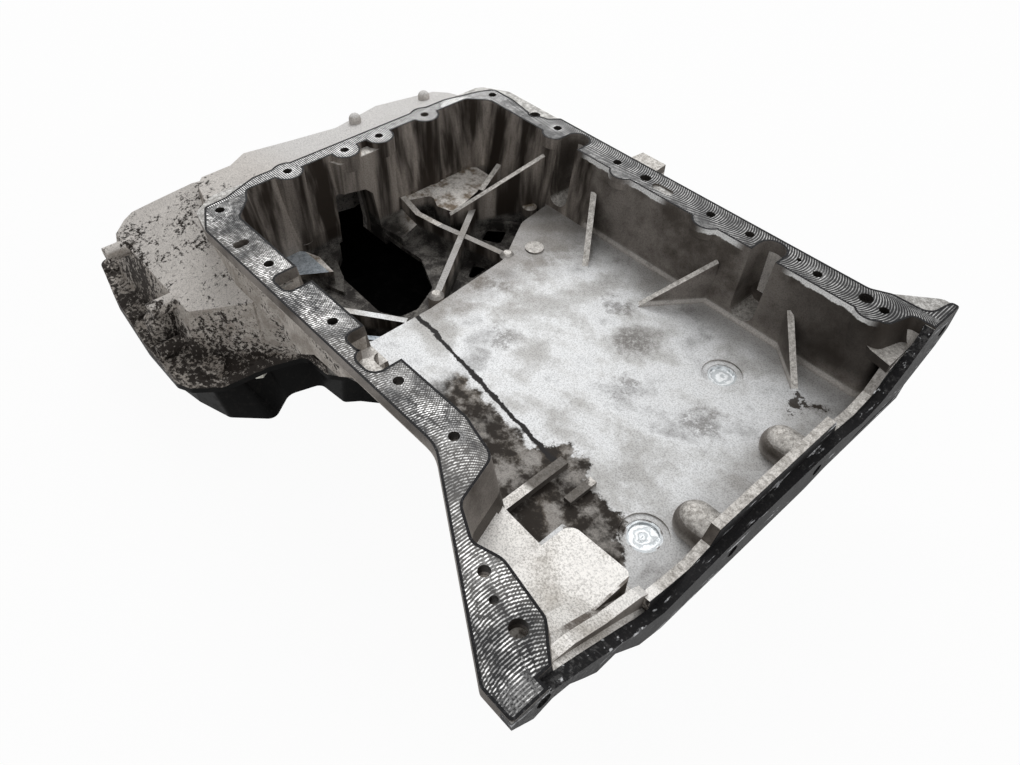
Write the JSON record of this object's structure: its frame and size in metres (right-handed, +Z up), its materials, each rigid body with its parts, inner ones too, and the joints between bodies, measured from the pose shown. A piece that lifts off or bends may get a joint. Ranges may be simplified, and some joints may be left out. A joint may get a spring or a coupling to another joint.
{
  "type": "engine oil pan",
  "caption": "Two-piece engine oil pan: cast aluminium upper pan with a machined rim, shallow tray and front well, over a black lower pan.",
  "frame": {"origin": "centre of the bounding box at its bottom, under the lower pan's flat bottom", "axes": "+X along the pan towards the bell housing end, +Y to the far rail, +Z up out of the open rim"},
  "size_m": [0.5534, 0.418, 0.15],
  "materials": {
    "cast_aluminium": "bead blasted casting, machined rim, oil stained",
    "black_plastic": "satin moulded black",
    "seal_rubber": "matt",
    "bright_steel": "bright pressed steel",
    "zinc_steel": "zinc plated",
    "washer_aluminium": "plain"
  },
  "bodies": {
    "root": {"upper_pan": "cast_aluminium", "lower_pan": "black_plastic", "lower_pan_seal": "seal_rubber", "core_plug_1": "bright_steel", "core_plug_2": "bright_steel", "drain_plug": "zinc_steel", "drain_washer": "washer_aluminium", "pan_bolt_01": "zinc_steel", "pan_bolt_02": "zinc_steel", "pan_bolt_03": "zinc_steel", "pan_bolt_04": "zinc_steel", "pan_bolt_05": "zinc_steel", "pan_bolt_06": "zinc_steel", "pan_bolt_07": "zinc_steel", "pan_bolt_08": "zinc_steel", "pan_bolt_09": "zinc_steel", "pan_bolt_10": "zinc_steel", "pan_bolt_11": "zinc_steel", "pan_bolt_12": "zinc_steel", "pan_bolt_13": "zinc_steel", "pan_bolt_14": "zinc_steel"}
  },
  "joints": []
}
